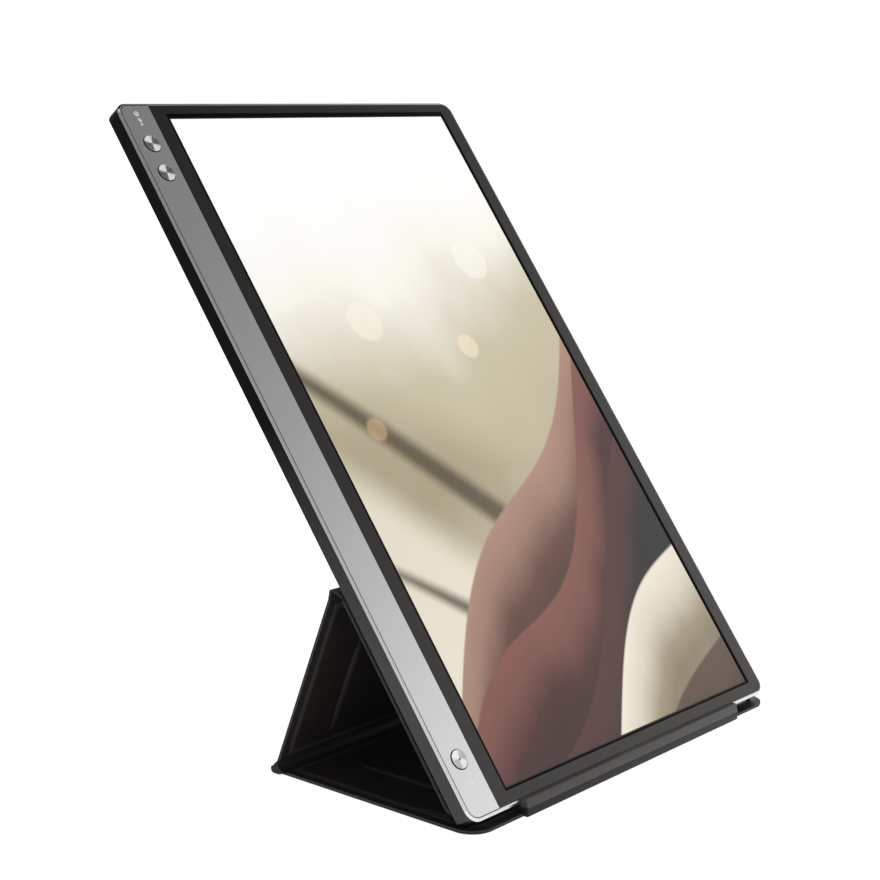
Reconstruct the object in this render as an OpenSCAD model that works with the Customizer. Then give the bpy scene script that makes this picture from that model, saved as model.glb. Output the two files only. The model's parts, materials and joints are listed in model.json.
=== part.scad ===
// Portable monitor standing upright on its folding cover.
// X runs to the right, Y to the back and Z up. The origin is the middle of the
// base panel's underside, on the table.
// The monitor is drawn lying on its back: x across, y up the screen, and z out
// of the glass, with z = 0 at the front. on_screen() leans it back on the cover.

/* [Screen] */
// Width of the picture area as the monitor stands
active_w = 193.6; // [120:0.1:260]
// Height of the picture area as the monitor stands
active_h = 344.2; // [280:0.1:440]
// Frame between the picture and the right edge
bezel_side = 10.7; // [7:0.1:20]
// Frame between the picture and the control strip
bezel_strip = 9.1; // [6:0.1:20]
// Frame above and below the picture
bezel_end = 8.2; // [6:0.1:20]
// Width of the metal control strip with its share of the rim
strip_w = 19.3; // [17:0.1:30]

/* [Monitor body] */
// Thickness from glass to back
body_t = 8.5; // [7.8:0.1:14]
// Radius of the corners seen from the front
corner_r = 6.5; // [4:0.1:12]
// Slope cut around the front edge of the rim
rim_chamfer = 0.8; // [0.5:0.05:1.3]
// Width of the rim seen from the front
rim_w = 1.5; // [1.4:0.1:2.2]
// Side wall of the rear housing
wall_t = 1.3; // [1:0.1:2]
// Back wall of the rear housing
back_t = 1.2; // [1:0.1:1.6]
// Rounding of the back's long edges
side_round = 1; // [0.8:0.1:2]
// Rounding of the back's short edges, one of which stands in the cover
heel_round = 3; // [2.6:0.1:3.4]

/* [Panel stack] */
// Front frame, strip plate and rim
frame_t = 1.1; // [0.8:0.05:1.3]
// Height of the step around the picture
lip_t = 0.5; // [0.3:0.05:0.7]
// Thickness of the display glass
glass_t = 0.9; // [0.6:0.1:1.2]
// Thickness of the light guide and its films
guide_t = 1.1; // [0.8:0.1:1.4]
// Sheet of the tray that holds the display
tray_t = 0.3; // [0.2:0.05:0.5]
// Circuit board thickness
board_t = 0.8; // [0.6:0.1:1]

/* [Keys] */
// Diameter of the three keys
key_d = 9; // [6:0.1:10]
// How far a key stands proud of the strip
key_proud = 0.2; // [0.1:0.05:0.4]
// How far a key goes in
key_travel = 0.3; // [0.2:0.05:0.4]
// Menu key's distance from the top edge
menu_key_drop = 22.6; // [22:0.1:30]
// Spacing of the menu key and the select key
key_pitch = 15.8; // [13:0.1:24]
// Power key's height above the bottom edge
power_key_up = 27; // [16:0.1:60]

/* [Cover] */
// Lean of the screen above the table, in degrees
lean = 53.8; // [48:0.1:60]
// How far the cover reaches past the monitor on each side
cover_over = 0; // [-2:0.1:4]
// Thickness of each cover panel
cover_t = 1.7; // [1.5:0.1:2.4]
// Thickness of the cover's skin and of its lining
skin_t = 0.4; // [0.3:0.05:0.5]
// Depth of the base panel, from its front edge to the rear fold
base_d = 118; // [104:0.1:132]
// How far the base panel's front edge lies before the monitor's front edge
base_reach = 1.8; // [0.5:0.1:2.2]
// Radius of the base panel's front corners
base_corner_r = 11; // [4:0.5:23]
// Height of the top fold, measured up the screen
ridge_up = 115.8; // [100:0.1:125]
// How far the top fold stands off the rest panel
ridge_off = 4; // [2:0.1:6]
// Radius of the rolled folds
fold_r = 1.2; // [1:0.1:1.4]
// Rest panel's lower edge above the monitor's lower edge
rest_up = 7.4; // [5:0.1:20]

/* [Stop bar] */
// Stop bar's ends inside the cover's sides
stop_inset = 32.7; // [25:0.1:55]
// How far the bar's front lies before the monitor's front edge
stop_reach = 3.8; // [3.4:0.1:5]
// Height of the bar's upright lower face
stop_face_h = 4.1; // [3:0.1:5]
// Height of the bar
stop_h = 8.1; // [6:0.1:8.3]

/* [Hidden] */
$fn = 64;
eps = 0.01;

// Clearances
seat_gap = 0.3;      // monitor's heel above the base panel, and before the stop bar
cover_gap = 0.2;     // rest panel behind the monitor's back
slide_gap = 0.15;    // keys in the strip plate
part_gap = 0.1;      // between fixed parts that stand side by side
roll_gap = 0.1;      // around a rolled fold

// Monitor, lying on its back
body_w = strip_w + bezel_strip + active_w + bezel_side;
body_h = active_h + 2 * bezel_end;
left = -body_w / 2;
right = body_w / 2;
active_x = left + strip_w + bezel_strip;
strip_in = left + rim_w + part_gap;
strip_out = left + strip_w;
key_x = (strip_in + strip_out) / 2;
menu_key_y = body_h - menu_key_drop;
select_key_y = menu_key_y - key_pitch;
power_key_y = power_key_up;
KEY_YS = [menu_key_y, select_key_y, power_key_y];
key_board_y = (menu_key_y + select_key_y) / 2;

// Levels under the front, as depths
glass_z = lip_t;
guide_z = glass_z + glass_t;
tray_z = guide_z + guide_t;
post_z = tray_z + tray_t;
floor_z = body_t - back_t;

// Display cell
cell_margin = 2.2;
cell_w = active_w + 2 * cell_margin;
cell_h = active_h + 2 * cell_margin;
cell_x = active_x - cell_margin;
cell_y = bezel_end - cell_margin;
led_w = 2.4;
tray_tab = 5;
screw_d = 1.4;
screw_len = 1.4;     // of thread past the sheet that it holds
thread_gap = 0.05;
head_d = 2.4;
head_t = 0.4;
post_d = 3.2;
TAB_YS = [0.12, 0.5, 0.88];

// Keys
flange_d = key_d + 1.6;
flange_t = 0.5;
stem_d = 3;
stem_len = 0.3;
carrier_t = 1.9;
carrier_z = frame_t;
flange_z = frame_t + 0.1;
stem_end_z = flange_z + flange_t + stem_len;
switch_top_z = stem_end_z + key_travel + part_gap;
plunger_d = 1.8;
plunger_t = 0.2;
switch_w = 3.4;
switch_t = 0.7;
key_board_z = switch_top_z + plunger_t + switch_t;

// Boards
board_inset = 2.4;   // from a small board's end to its screws
key_board_w = 12;
key_board_h = key_pitch + 13;
power_board_h = 18;
ribbon_w = 5;
ribbon_t = 0.2;
main_w = 70;
main_h = 150;
main_up = 2;         // main board above the rest panel's top edge
main_back = 0.6;     // air behind the main board
main_x = active_x + active_w / 2 - main_w / 2;
main_z = floor_z - main_back - board_t;
chip_t = 0.9;
can_wall = 0.2;
CHIPS = [[12, 30, 14], [44, 52, 10], [16, 92, 10], [42, 118, 12]];
CAN = [8, 62, 24, 20];
MAIN_SCREWS = [[4, 4], [main_w - 4, 4], [4, main_h - 4], [main_w - 4, main_h - 4]];

// USB socket in the top edge, behind the strip
port_w = 8.94;
port_h = 3.2;
port_d = 7.3;
port_wall = 0.3;
port_x = left + strip_w / 2 + 2;
port_z = carrier_z + carrier_t + part_gap + port_h / 2;
port_recess = 0.2;   // socket's mouth inside the top edge
port_end = 0.8;      // closed end of the socket
tongue_t = 0.7;
tongue_w = 6.7;
port_board_h = 12;
port_board_w = 14;
port_board_z = port_z - board_t / 2;
port_board_end = body_h - wall_t - heel_round / 2;

// Magnets that hold the rest panel
magnet_d = 10;
magnet_t = 1;
MAGNET_XS = [-0.36, -0.12, 0.12, 0.36];
MAGNET_US = [0.3, 0.75];

// Where the leaning monitor stands
edge_z = cover_t + seat_gap + body_t * cos(lean)
    - heel_round * (cos(lean) + sin(lean) - 1);
base_front_y = -base_d / 2;
edge_y = base_front_y + base_reach;
function screen_y(u, n) = edge_y + u * cos(lean) + n * sin(lean);
function screen_z(u, n) = edge_z + u * sin(lean) - n * cos(lean);

// Folds, as points of the side view
rest_n = body_t + cover_gap + cover_t / 2;
ridge_n = rest_n + ridge_off;
ridge_y = screen_y(ridge_up, ridge_n);
ridge_z = screen_z(ridge_up, ridge_n);
rear_y = base_d / 2;
rear_z = fold_r;
rear_len = norm([rear_y - ridge_y, ridge_z - rear_z]);
rear_slope = atan2(ridge_z - rear_z, rear_y - ridge_y);

// Cover panels: a skin with a rim, a stiff board in it and a lining over both
rim_skin = 2;
cover_w = body_w + 2 * cover_over;
panel_end = 2.8;     // where a panel's full thickness stops before a fold
web_t = 0.9;         // soft strip between a panel and a fold
board_layer = cover_t - 2 * skin_t;
fold_run = 1.5;      // soft strip's run along the rest panel
rest_top = ridge_up - ridge_off - fold_run;
rest_corner_r = 4;
main_y = rest_top + main_up;

// Stop bar's profile, against the monitor's lower edge
stop_len = cover_w - 2 * stop_inset;
stop_lean = 1.2;      // upper facet leans back over the bar
edge_low_y = screen_y(0, rim_chamfer);
edge_low_z = screen_z(0, rim_chamfer);
stop_seat_y = edge_low_y - seat_gap * cos(lean);
stop_seat_z = edge_low_z - seat_gap * sin(lean);
swing_r = norm([ridge_y - stop_seat_y, ridge_z - stop_seat_z]);
stop_front_y = edge_y - stop_reach;
stop_end_y = stop_seat_y + (stop_seat_z - cover_t) * tan(lean);
stop_skin_t = 0.6;

module on_screen() {
    translate([0, edge_y, edge_z]) rotate([lean, 0, 0]) children();
}

// Puts a plan drawn on the screen at a depth below its front
module layer(depth, thick) {
    translate([0, 0, -depth - thick]) linear_extrude(thick) children();
}

module round_rect(x0, y0, w, h, r) {
    translate([x0 + r, y0]) square([w - 2 * r, h]);
    translate([x0, y0 + r]) square([w, h - 2 * r]);
    for (x = [x0 + r, x0 + w - r], y = [y0 + r, y0 + h - r])
        translate([x, y]) circle(r);
}

// A length of bar with two rounded back edges, in the XZ plane
module back_profile(w, t, r) {
    translate([0, -t + r]) square([w, t - r]);
    translate([r, -t]) square([w - 2 * r, r + eps]);
    for (x = [r, w - r]) translate([x, -t + r]) circle(r);
}

module body_plan(inset) {
    round_rect(left + inset, inset, body_w - 2 * inset, body_h - 2 * inset,
        max(corner_r - inset, 0.5));
}

// Housing block from the rim down, smaller all round by the inset
module housing_block(inset, depth) {
    intersection() {
        layer(frame_t, depth - frame_t) body_plan(inset);
        translate([left + inset, body_h, 0]) rotate([90, 0, 0])
            linear_extrude(body_h)
                back_profile(body_w - 2 * inset, depth, side_round);
        translate([right, inset, 0]) rotate([90, 0, -90]) mirror([1, 0, 0])
            linear_extrude(body_w)
                back_profile(body_h - 2 * inset, depth, heel_round);
    }
}

// ---- Monitor ----

module rear_housing() color("#262626") on_screen() {
    difference() {
        housing_block(0, body_t);
        housing_cavity();
        port_cut();
    }
    intersection() {
        housing_posts();
        layer(frame_t, body_t - frame_t - eps) body_plan(wall_t / 2);
    }
}

module housing_cavity() {
    intersection() {
        layer(0, floor_z) body_plan(wall_t);
        translate([left, body_h, 0]) rotate([90, 0, 0])
            linear_extrude(body_h)
                translate([wall_t, 0]) back_profile(body_w - 2 * wall_t, floor_z, side_round);
        translate([right, wall_t, 0]) rotate([90, 0, -90]) mirror([1, 0, 0])
            linear_extrude(body_w)
                back_profile(body_h - 2 * wall_t, floor_z, heel_round);
    }
}

module housing_posts() {
    for (p = tab_points()) post(p, post_z);
    for (p = main_points()) post(p, main_z + board_t);
    for (p = key_post_points()) post(p, key_board_z + board_t);
    for (p = port_post_points()) post(p, port_board_z + board_t);
}

module post(p, top) {
    difference() {
        translate([p[0], p[1], -floor_z]) cylinder(d = post_d, h = floor_z - top);
        translate([p[0], p[1], -top - screw_reach(top)])
            cylinder(d = screw_d, h = screw_reach(top) + eps);
    }
}

function screw_reach(top) = floor_z - top - part_gap;
function tab_x(side) = side < 0 ? cell_x - led_w - tray_t - tray_tab / 2 - part_gap
    : cell_x + cell_w + tray_t + tray_tab / 2;
function tab_points() = [for (s = [-1, 1], f = TAB_YS) [tab_x(s), f * body_h]];
function main_points() = [for (p = MAIN_SCREWS) [main_x + p[0], main_y + p[1]]];
function key_post_points() = [for (s = [-1, 1])
    [key_x, key_board_y + s * (key_board_h / 2 - board_inset)],
    for (s = [-1, 1]) [key_x, power_key_y + s * (power_board_h / 2 - board_inset)]];
function port_post_points() = [for (s = [-1, 1])
    [port_x + s * (port_board_w / 2 - board_inset), port_board_end - port_board_h + board_inset]];

// Socket's outline, a slot with round ends
module port_outline(grow) {
    r = port_h / 2 + grow;
    flat = port_w / 2 - port_h / 2;
    square([2 * flat, 2 * r], center = true);
    for (s = [-1, 1]) translate([s * flat, 0]) circle(r);
}

module port_at(y0, len, grow) {
    translate([port_x, y0 + len, -port_z]) rotate([90, 0, 0])
        linear_extrude(len) port_outline(grow);
}

module port_cut() {
    port_at(body_h - port_d - 1, port_d + 2, part_gap);
}

module front_rim() color("#8e8e8e") on_screen() {
    edge_sweep() polygon([[0, -frame_t], [rim_w, -frame_t], [rim_w, 0],
        [rim_chamfer, 0], [0, -min(rim_chamfer, frame_t - thread_gap)]]);
}

// Carries a profile around the body's outline, x going inward from the edge
module edge_sweep() {
    for (s = [0, 1]) {
        translate([s == 0 ? left : right, 0, 0]) mirror([s, 0, 0])
            translate([0, body_h - corner_r, 0]) rotate([90, 0, 0])
                linear_extrude(body_h - 2 * corner_r) children();
        translate([0, s * body_h, 0]) mirror([0, s, 0])
            translate([left + corner_r, 0, 0]) rotate([90, 0, 90])
                linear_extrude(body_w - 2 * corner_r) children();
    }
    for (sx = [0, 1], sy = [0, 1])
        translate([sx == 0 ? left + corner_r : right - corner_r,
                sy == 0 ? corner_r : body_h - corner_r, 0])
            mirror([sx, 0, 0]) mirror([0, sy, 0]) rotate([0, 0, 180])
                rotate_extrude(angle = 90) translate([corner_r, 0]) mirror([1, 0])
                    children();
}

module front_frame() color("#3a3938") on_screen() {
    difference() {
        layer(0, frame_t) intersection() {
            body_plan(rim_w + part_gap);
            translate([strip_out + part_gap / 2, 0]) square([body_w, body_h]);
        }
        layer(-eps, lip_t + 2 * eps)
            translate([active_x, bezel_end]) square([active_w, active_h]);
        layer(lip_t, frame_t) translate([cell_x - led_w - tray_t - part_gap, cell_y - tray_t - part_gap])
            square([cell_w + led_w + 2 * tray_t + 2 * part_gap, cell_h + 2 * tray_t + 2 * part_gap]);
    }
}

module strip_plate() color("#a9a8a6") on_screen() {
    difference() {
        layer(0, frame_t) intersection() {
            body_plan(rim_w + part_gap);
            translate([left, 0]) square([strip_w - part_gap / 2, body_h]);
        }
        for (y = KEY_YS) translate([key_x, y, -frame_t - eps])
            cylinder(d = key_d + 2 * slide_gap, h = frame_t + 2 * eps);
    }
}

module key_carrier() color("#1e1e1e") on_screen() {
    difference() {
        layer(carrier_z, carrier_t) intersection() {
            body_plan(wall_t + part_gap);
            translate([left, 0]) square([strip_w - part_gap / 2, body_h]);
        }
        for (y = KEY_YS) translate([key_x, y, 0]) {
            translate([0, 0, -flange_z - flange_t - key_travel - part_gap])
                cylinder(d = flange_d + 2 * slide_gap, h = flange_z + key_travel + 1);
            translate([0, 0, -carrier_z - carrier_t - eps])
                cylinder(d = switch_w * sqrt(2) + 1, h = carrier_t);
        }
        for (p = tab_points())
            layer(carrier_z - eps, carrier_t + 2 * eps) translate([p[0], p[1]])
                square(tray_tab + 4 * part_gap, center = true);
        for (p = key_post_points()) translate([p[0], p[1], -carrier_z - carrier_t - eps])
            cylinder(d = head_d + 4 * part_gap, h = head_t + eps);
    }
}

module key(y) on_screen() translate([key_x, y, 0]) {
    translate([0, 0, -flange_z - eps]) cylinder(d = key_d, h = flange_z + key_proud + eps);
    translate([0, 0, -flange_z - flange_t]) cylinder(d = flange_d, h = flange_t);
    translate([0, 0, -stem_end_z]) cylinder(d = stem_d, h = stem_len + eps);
}

module menu_key() color("#c9c9c9") key(menu_key_y);
module select_key() color("#c9c9c9") key(select_key_y);
module power_key() color("#c9c9c9") key(power_key_y);

module key_switches() color("#8f9092") on_screen() {
    for (y = KEY_YS) translate([key_x, y, 0]) {
        translate([-switch_w / 2, -switch_w / 2, -key_board_z])
            cube([switch_w, switch_w, switch_t]);
        translate([0, 0, -key_board_z + switch_t - eps])
            cylinder(d = plunger_d, h = plunger_t + eps);
    }
}

module small_board(y, w, h, z, points) {
    difference() {
        layer(z, board_t) translate([key_x - w / 2, y - h / 2]) square([w, h]);
        for (p = points) translate([p[0], p[1], -z - board_t - eps])
            cylinder(d = screw_d + 2 * part_gap, h = board_t + 2 * eps);
    }
}

module key_board() color("#1d5c37") on_screen()
    small_board(key_board_y, key_board_w, key_board_h, key_board_z,
        [key_post_points()[0], key_post_points()[1]]);

module power_board() color("#1d5c37") on_screen()
    small_board(power_key_y, key_board_w, power_board_h, key_board_z,
        [key_post_points()[2], key_post_points()[3]]);

// Flat cable along the strip between the two key boards
module board_ribbon() color("#b9742a") on_screen() {
    y0 = power_key_y + power_board_h / 2;
    y1 = key_board_y - key_board_h / 2;
    layer(key_board_z, ribbon_t) translate([key_x - ribbon_w / 2, y0])
        square([ribbon_w, y1 - y0]);
}

module display_glass() color("#d8d3c8") on_screen()
    layer(glass_z, glass_t) translate([cell_x, cell_y]) square([cell_w, cell_h]);

module light_guide() color("#f2f2ee") on_screen()
    layer(guide_z, guide_t) translate([cell_x, cell_y]) square([cell_w, cell_h]);

module led_bar() color("#e9e4b8") on_screen()
    layer(guide_z, guide_t) translate([cell_x - led_w, cell_y])
        square([led_w, cell_h]);

module panel_tray() color("#b4b8bb") on_screen() {
    x0 = cell_x - led_w - tray_t;
    w = cell_w + led_w + 2 * tray_t;
    difference() {
        union() {
            layer(glass_z, glass_t + guide_t + tray_t)
                translate([x0, cell_y - tray_t]) square([w, cell_h + 2 * tray_t]);
            for (p = tab_points())
                layer(tray_z, tray_t) translate([p[0], p[1]])
                    square([tray_tab + 2 * part_gap, tray_tab], center = true);
        }
        layer(0, tray_z) translate([x0 + tray_t, cell_y])
            square([w - 2 * tray_t, cell_h]);
        for (p = tab_points()) translate([p[0], p[1], -tray_z - tray_t - eps])
            cylinder(d = screw_d + 2 * part_gap, h = tray_t + 2 * eps);
    }
}

// Flat cable from the display's tray to the main board
module panel_ribbon() color("#b9742a") on_screen()
    translate([main_x + main_w / 2 - ribbon_w, main_y + main_h - 2 * ribbon_w]) {
        for (z = [post_z, main_z - ribbon_t]) layer(z, ribbon_t) square([2 * ribbon_w, ribbon_w]);
        layer(post_z, main_z - post_z) square([2 * ribbon_w, ribbon_t]);
    }

module main_board() color("#1d5c37") on_screen() {
    difference() {
        layer(main_z, board_t) translate([main_x, main_y]) square([main_w, main_h]);
        for (p = main_points()) translate([p[0], p[1], -main_z - board_t - eps])
            cylinder(d = screw_d + 2 * part_gap, h = board_t + 2 * eps);
    }
}

module board_chips() color("#2b2b2e") on_screen() {
    for (c = CHIPS) layer(main_z - chip_t, chip_t)
        translate([main_x + c[0], main_y + c[1]]) square([c[2], c[2]]);
}

// Low can over the power parts of the main board
module shield_can() color("#c2c5c7") on_screen() {
    difference() {
        layer(main_z - chip_t, chip_t) translate([main_x + CAN[0], main_y + CAN[1]])
            square([CAN[2], CAN[3]]);
        layer(main_z - chip_t + can_wall, chip_t)
            translate([main_x + CAN[0] + can_wall, main_y + CAN[1] + can_wall])
                square([CAN[2] - 2 * can_wall, CAN[3] - 2 * can_wall]);
    }
}

module usb_port() color("#c8c8c8") on_screen() {
    y0 = body_h - port_d;
    difference() {
        port_at(y0, port_d - port_recess, 0);
        port_at(y0 + port_end, port_d, -port_wall);
    }
}

module usb_tongue() color("#202020") on_screen() {
    layer(port_z - tongue_t / 2, tongue_t)
        translate([port_x - tongue_w / 2, body_h - port_d + port_end])
            square([tongue_w, port_d - port_end - 6 * port_recess]);
}

module port_board() color("#1d5c37") on_screen() {
    notch_w = port_w + 2 * part_gap;
    difference() {
        layer(port_board_z, board_t)
            translate([port_x - port_board_w / 2, port_board_end - port_board_h])
                square([port_board_w, port_board_h]);
        translate([port_x - notch_w / 2, body_h - port_d - part_gap, -port_board_z - 2 * board_t])
            cube([notch_w, port_d, 4 * board_t]);
        for (p = port_post_points()) translate([p[0], p[1], -port_board_z - board_t - eps])
            cylinder(d = screw_d + 2 * part_gap, h = board_t + 2 * eps);
    }
}

module tray_screws() color("#77797b") on_screen() {
    for (p = tab_points()) screw_at(p, tray_z, tray_t);
}

module screw_at(p, z, sheet) {
    reach = min(screw_len, screw_reach(z + sheet) - part_gap) + sheet;
    translate([p[0], p[1], -z - reach]) cylinder(d = screw_d - thread_gap, h = reach + eps);
    translate([p[0], p[1], -z]) cylinder(d = head_d, h = head_t);
}

module board_screws() color("#77797b") on_screen() {
    for (p = main_points()) screw_at(p, main_z, board_t);
    for (p = key_post_points()) screw_at(p, key_board_z, board_t);
    for (p = port_post_points()) screw_at(p, port_board_z, board_t);
}

module body_magnets() color("#9a9ea2") on_screen() {
    for (fx = MAGNET_XS, fu = MAGNET_US)
        translate([fx * body_w, magnet_u(fu), -floor_z])
            cylinder(d = magnet_d, h = magnet_t);
}

// ---- Cover ----

function magnet_u(f) = rest_up + f * (rest_top - rest_up);

// A panel lying in the XY plane: y from y0 to y1, z from 0 to its thickness,
// with the skin below and the lining above, and rounded corners at y0
module panel_plan(y0, y1, r, inset) {
    w = cover_w - 2 * inset;
    rr = max(r - inset, 0.5);
    intersection() {
        round_rect(-w / 2, y0 + inset, w, y1 - y0 + 2 * rr, rr);
        translate([-w / 2, y0]) square([w, y1 - inset - y0]);
    }
}

module panel_skin(y0, y1, r) {
    difference() {
        linear_extrude(skin_t + board_layer) panel_plan(y0, y1, r, 0);
        translate([0, 0, skin_t]) linear_extrude(cover_t) panel_plan(y0, y1, r, rim_skin);
    }
}

module panel_board(y0, y1, r) {
    translate([0, 0, skin_t]) linear_extrude(board_layer)
        panel_plan(y0, y1, r, rim_skin + part_gap);
}

module panel_lining(y0, y1, r) {
    translate([0, 0, skin_t + board_layer]) linear_extrude(skin_t)
        panel_plan(y0, y1, r, 0);
}

// Rest panel lies on the monitor's back with its skin toward the monitor
module on_rest() {
    on_screen() translate([0, 0, -body_t - cover_gap]) mirror([0, 0, 1]) children();
}

module rest_skin() color("#2a2523") on_rest() panel_skin(rest_up, rest_top, rest_corner_r);

module rest_board() color("#4b4b4d") on_rest() difference() {
    panel_board(rest_up, rest_top, rest_corner_r);
    for (fx = MAGNET_XS, fu = MAGNET_US)
        translate([fx * body_w, magnet_u(fu), 0]) cylinder(d = magnet_d + 2 * part_gap, h = cover_t);
}

module rest_lining() color("#3a302c") on_rest() panel_lining(rest_up, rest_top, rest_corner_r);

module rest_magnets() color("#9a9ea2") on_rest()
    for (fx = MAGNET_XS, fu = MAGNET_US)
        translate([fx * body_w, magnet_u(fu), skin_t]) cylinder(d = magnet_d, h = board_layer);

// Soft strip from the rest panel's top to the rolled top fold
module ridge_fold() color("#241f1d") {
    rest_mid = cover_t / 2;
    on_rest() rotate([90, 0, 90]) translate([0, 0, -cover_w / 2]) linear_extrude(cover_w) {
        polygon([[rest_top, rest_mid - web_t / 2], [rest_top + web_t, rest_mid - web_t / 2],
            [ridge_up + web_t * 0.4, rest_mid + ridge_off - web_t * 0.4],
            [ridge_up - web_t * 0.4, rest_mid + ridge_off + web_t * 0.4],
            [rest_top + web_t * 0.4, rest_mid + web_t / 2], [rest_top, rest_mid + web_t / 2]]);
        translate([ridge_up, rest_mid + ridge_off]) circle(fold_r);
    }
}

// Rear panel runs down from the top fold: y grows down it, skin outward
module on_rear() {
    translate([0, ridge_y, ridge_z]) rotate([-rear_slope, 0, 0])
        translate([0, 0, cover_t / 2]) mirror([0, 0, 1]) children();
}

module roll_cut(y) {
    translate([-cover_w / 2 - 1, y, cover_t / 2]) rotate([0, 90, 0])
        cylinder(r = fold_r + roll_gap, h = cover_w + 2);
}

module rear_skin() color("#2a2523") on_rear() {
    panel_skin(panel_end, rear_len - panel_end, 1);
    for (y = [fold_r / 2, rear_len - panel_end - eps]) difference() {
        translate([-cover_w / 2, y, (cover_t - web_t) / 2])
            cube([cover_w, panel_end - fold_r / 2 + eps, web_t]);
        roll_cut(0);
        roll_cut(rear_len);
    }
}

module rear_board() color("#4b4b4d") on_rear() panel_board(panel_end, rear_len - panel_end, 1);

module rear_lining() color("#3a302c") on_rear() panel_lining(panel_end, rear_len - panel_end, 1);

// Rolled fold at the back of the base, with its soft strip
module rear_fold() color("#241f1d") {
    translate([0, base_front_y, 0]) rotate([90, 0, 90]) translate([0, 0, -cover_w / 2])
        linear_extrude(cover_w) {
            translate([base_d - panel_end, (cover_t - web_t) / 2]) square([panel_end, web_t]);
            translate([base_d, fold_r]) circle(fold_r);
        }
}

module on_base() {
    translate([0, base_front_y, 0]) children();
}

module base_skin() color("#2a2523") on_base()
    panel_skin(0, base_d - panel_end, base_corner_r);

module base_board() color("#4b4b4d") on_base()
    panel_board(0, base_d - panel_end, base_corner_r);

module base_lining() color("#3a302c") on_base()
    panel_lining(0, base_d - panel_end, base_corner_r);

// Stop bar: its rear face keeps clear of the monitor's edge as the cover
// swings about the top fold
module stop_profile(inset) {
    difference() {
        polygon([[stop_front_y + inset, inset * 0.5],
            [stop_front_y + inset, stop_face_h - inset * 0.3],
            [stop_front_y + stop_lean + inset, stop_h - inset * 1.5],
            [stop_seat_y - inset, stop_h - inset * 1.5],
            [stop_seat_y - inset, stop_seat_z - inset * 1.5],
            [stop_end_y - inset * 3, cover_t + inset * 0.5],
            [base_front_y - inset * 0.5, cover_t + inset * 0.5],
            [base_front_y - inset * 0.5, inset * 0.5]]);
        translate([ridge_y, ridge_z]) circle(swing_r + inset, $fn = 720);
    }
}

module stop_bar(len, inset) {
    rotate([90, 0, 90]) translate([0, 0, -len / 2]) linear_extrude(len) stop_profile(inset);
}

module stop_skin() color("#2a2523") difference() {
    stop_bar(stop_len, 0);
    stop_bar(stop_len - 2 * stop_skin_t, stop_skin_t);
}

module stop_core() color("#4b4b4d") stop_bar(stop_len - 2 * stop_skin_t, stop_skin_t);

rear_housing();
front_rim();
front_frame();
strip_plate();
key_carrier();
menu_key();
select_key();
power_key();
key_switches();
key_board();
power_board();
board_ribbon();
display_glass();
light_guide();
led_bar();
panel_tray();
panel_ribbon();
main_board();
board_chips();
shield_can();
usb_port();
usb_tongue();
port_board();
tray_screws();
board_screws();
body_magnets();
rest_skin();
rest_board();
rest_lining();
rest_magnets();
ridge_fold();
rear_skin();
rear_board();
rear_lining();
rear_fold();
base_skin();
base_board();
base_lining();
stop_skin();
stop_core();
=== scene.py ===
import json
import math

import bmesh
import bpy
from mathutils import Matrix, Vector


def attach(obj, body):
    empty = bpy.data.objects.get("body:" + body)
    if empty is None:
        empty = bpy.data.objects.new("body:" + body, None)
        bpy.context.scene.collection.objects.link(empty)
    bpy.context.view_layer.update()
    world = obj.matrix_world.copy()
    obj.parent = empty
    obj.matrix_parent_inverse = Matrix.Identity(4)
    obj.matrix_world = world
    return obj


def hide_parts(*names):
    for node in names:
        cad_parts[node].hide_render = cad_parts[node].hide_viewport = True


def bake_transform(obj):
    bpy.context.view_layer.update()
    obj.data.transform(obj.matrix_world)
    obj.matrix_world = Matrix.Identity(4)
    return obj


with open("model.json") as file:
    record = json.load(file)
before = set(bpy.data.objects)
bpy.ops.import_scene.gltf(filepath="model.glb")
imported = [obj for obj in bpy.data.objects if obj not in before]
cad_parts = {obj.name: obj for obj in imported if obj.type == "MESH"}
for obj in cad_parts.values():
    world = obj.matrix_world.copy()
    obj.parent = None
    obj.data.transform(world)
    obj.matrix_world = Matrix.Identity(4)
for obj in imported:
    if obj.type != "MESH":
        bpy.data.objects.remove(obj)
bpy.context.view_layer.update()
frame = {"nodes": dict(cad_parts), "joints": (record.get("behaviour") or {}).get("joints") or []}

MM = 0.001
scene = bpy.context.scene
scene.view_settings.view_transform = "Standard"

# ---- Camera: the photograph's view, from the left and a little above ----


def photo_camera():
    data = bpy.data.cameras.new("photo_camera")
    data.sensor_width = 36.0
    data.lens = 74.714
    data.shift_y = 0.0682
    data.clip_start = 0.02
    data.clip_end = 60.0
    camera = bpy.data.objects.new("photo_camera", data)
    right = Vector((0.65278, -0.75754, 0.00093))
    up = Vector((0.16139, 0.14026, 0.97687))
    back = Vector((-0.74015, -0.63754, 0.21382))
    turn = Matrix((right, up, back)).transposed().to_4x4()
    camera.matrix_world = Matrix.Translation((-0.6612, -0.5088, 0.2980)) @ turn
    scene.collection.objects.link(camera)
    scene.camera = camera


photo_camera()

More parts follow.
